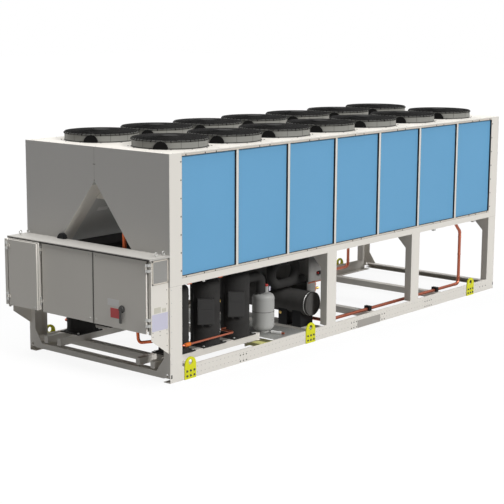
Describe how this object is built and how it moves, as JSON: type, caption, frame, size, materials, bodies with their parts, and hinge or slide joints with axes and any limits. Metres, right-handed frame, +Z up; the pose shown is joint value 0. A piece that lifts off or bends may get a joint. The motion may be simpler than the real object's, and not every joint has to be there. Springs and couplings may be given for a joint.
{
  "type": "air cooled water chiller",
  "caption": "Long outdoor chiller frame with two rows of roof fans over blue coils, an open machine bay with compressors and pipes, and a control cabinet at one end.",
  "frame": {"origin": "middle of the unit's footprint at the underside of the base rails", "axes": "+X along the unit from the control cabinet to the far end, +Y across it away from the side in the picture, +Z up"},
  "size_m": [7.019, 2.264, 2.5592],
  "materials": {
    "ivory_paint": "ivory powder coat on folded steel sheet",
    "blue_coil": "blue coated coil face",
    "coil_fins": "dull aluminium fins",
    "zinc_steel": "zinc coated steel sheet",
    "grey_paint": "grey paint",
    "ring_paint": "pale grey coated sheet",
    "black_plastic": "matt black",
    "black_jacket": "black closed-cell insulation",
    "copper": "drawn copper tube",
    "lifting_yellow": "yellow-green safety paint"
  },
  "bodies": {
    "frame": {"base_rails": "ivory_paint", "base_beams": "ivory_paint", "bay_tray": "zinc_steel", "compressor_rails": "ivory_paint", "posts": "ivory_paint", "gussets": "ivory_paint", "lifting_plates": "lifting_yellow", "upper_rails": "ivory_paint", "upper_cross_beams": "ivory_paint", "corner_posts": "ivory_paint", "deck_frame": "ivory_paint", "mullions": "ivory_paint", "coil_panels": "blue_coil", "inner_coils": "coil_fins", "coil_carriers": "zinc_steel", "end_sheets": "ivory_paint", "end_liners": "ivory_paint", "fan_deck": "ivory_paint", "fan_rings": "ring_paint", "fan_guards_near": "black_plastic", "fan_guards_far": "black_plastic", "fan_motors": "black_plastic", "fan_rotors": "black_plastic", "fan_covers": "black_plastic", "cabinet_back": "zinc_steel", "cabinet_floor": "ivory_paint", "cabinet_sides": "ivory_paint", "deep_box_sheets": "ivory_paint", "cabinet_roof": "ivory_paint", "cabinet_brackets": "ivory_paint", "cabinet_vents": "ivory_paint", "cabinet_eye_bolts": "zinc_steel", "cabinet_hinges": "zinc_steel", "compressors": "black_jacket", "terminal_boxes": "black_plastic", "receivers": "grey_paint", "evaporator": "black_jacket", "water_header": "black_jacket", "pipe_supports": "black_plastic", "jacketed_pipes": "black_jacket", "copper_lines": "copper"},
    "deep_door": {"door_deep": "ivory_paint"},
    "middle_door": {"door_middle": "ivory_paint"},
    "near_door": {"door_near": "ivory_paint", "isolator_base": "black_plastic"},
    "isolator": {"isolator_handle": "black_plastic"}
  },
  "joints": [
    {"name": "deep_door_hinge", "type": "hinge", "parent": "frame", "child": "deep_door", "pos_m": [-3.5025, 1.059, 0.977], "axis": [0, 0, -1], "range_deg": [0, 110]},
    {"name": "middle_door_hinge", "type": "hinge", "parent": "frame", "child": "middle_door", "pos_m": [-3.4405, 0.572, 0.977], "axis": [0, 0, -1], "range_deg": [0, 90]},
    {"name": "near_door_hinge", "type": "hinge", "parent": "frame", "child": "near_door", "pos_m": [-3.4405, -1.059, 0.977], "axis": [0, 0, 1], "range_deg": [0, 110]},
    {"name": "isolator_turn", "type": "hinge", "parent": "near_door", "child": "isolator", "pos_m": [-3.4325, -0.7, 0.797], "axis": [-1, 0, 0], "range_deg": [0, 90]}
  ]
}
